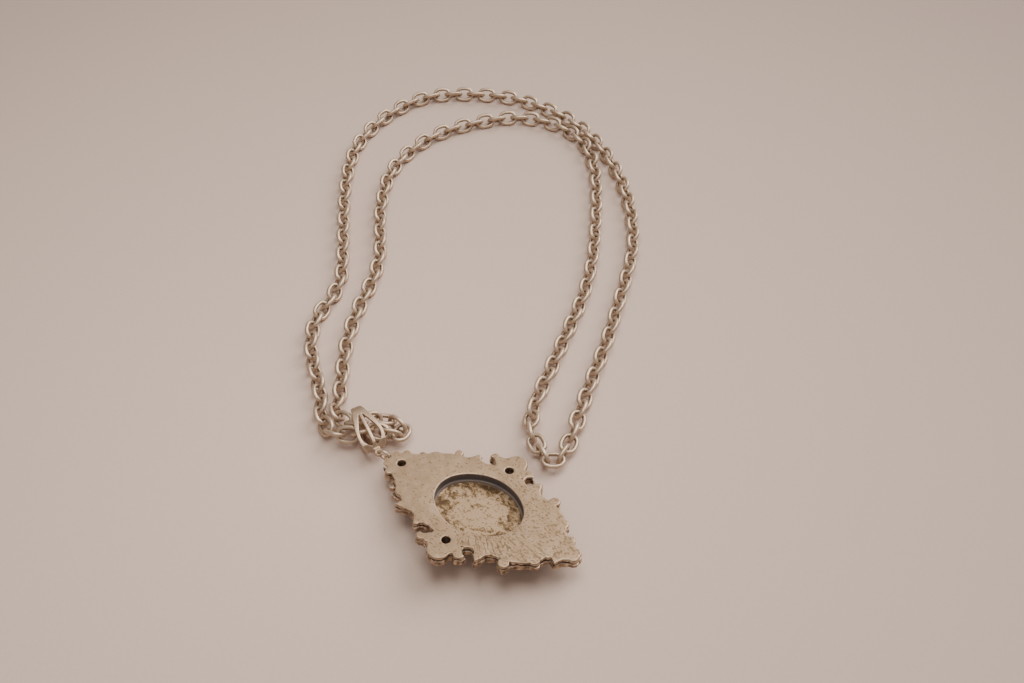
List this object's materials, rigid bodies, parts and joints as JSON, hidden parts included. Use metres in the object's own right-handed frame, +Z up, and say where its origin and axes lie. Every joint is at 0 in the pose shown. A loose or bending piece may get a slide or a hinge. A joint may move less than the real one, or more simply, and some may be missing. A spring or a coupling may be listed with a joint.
{
  "type": "cameo pendant with bail and cable chain",
  "caption": "Oval cameo pendant in a scroll-edged cast setting, lying face down, with a ribbed bail and a closed oval-link cable chain laid in a doubled loop.",
  "frame": {"origin": "centre of the whole piece's box at the level of the table it lies on", "axes": "+Z up from the table, +Y from the pendant toward the far end of the laid chain"},
  "size_m": [0.1052, 0.2104, 0.0101],
  "materials": {
    "cast_metal": "antiqued silver tone casting with dark recesses",
    "wire_metal": "antiqued silver tone wire",
    "cameo_stone": "moulded resin cameo",
    "cabochon": "opaque glass"
  },
  "bodies": {
    "root": {"setting": "cast_metal", "cameo": "cameo_stone", "stone_top": "cabochon", "stone_left": "cabochon", "stone_right": "cabochon", "jump_ring": "wire_metal", "bail": "cast_metal", "chain": "wire_metal"}
  },
  "joints": []
}
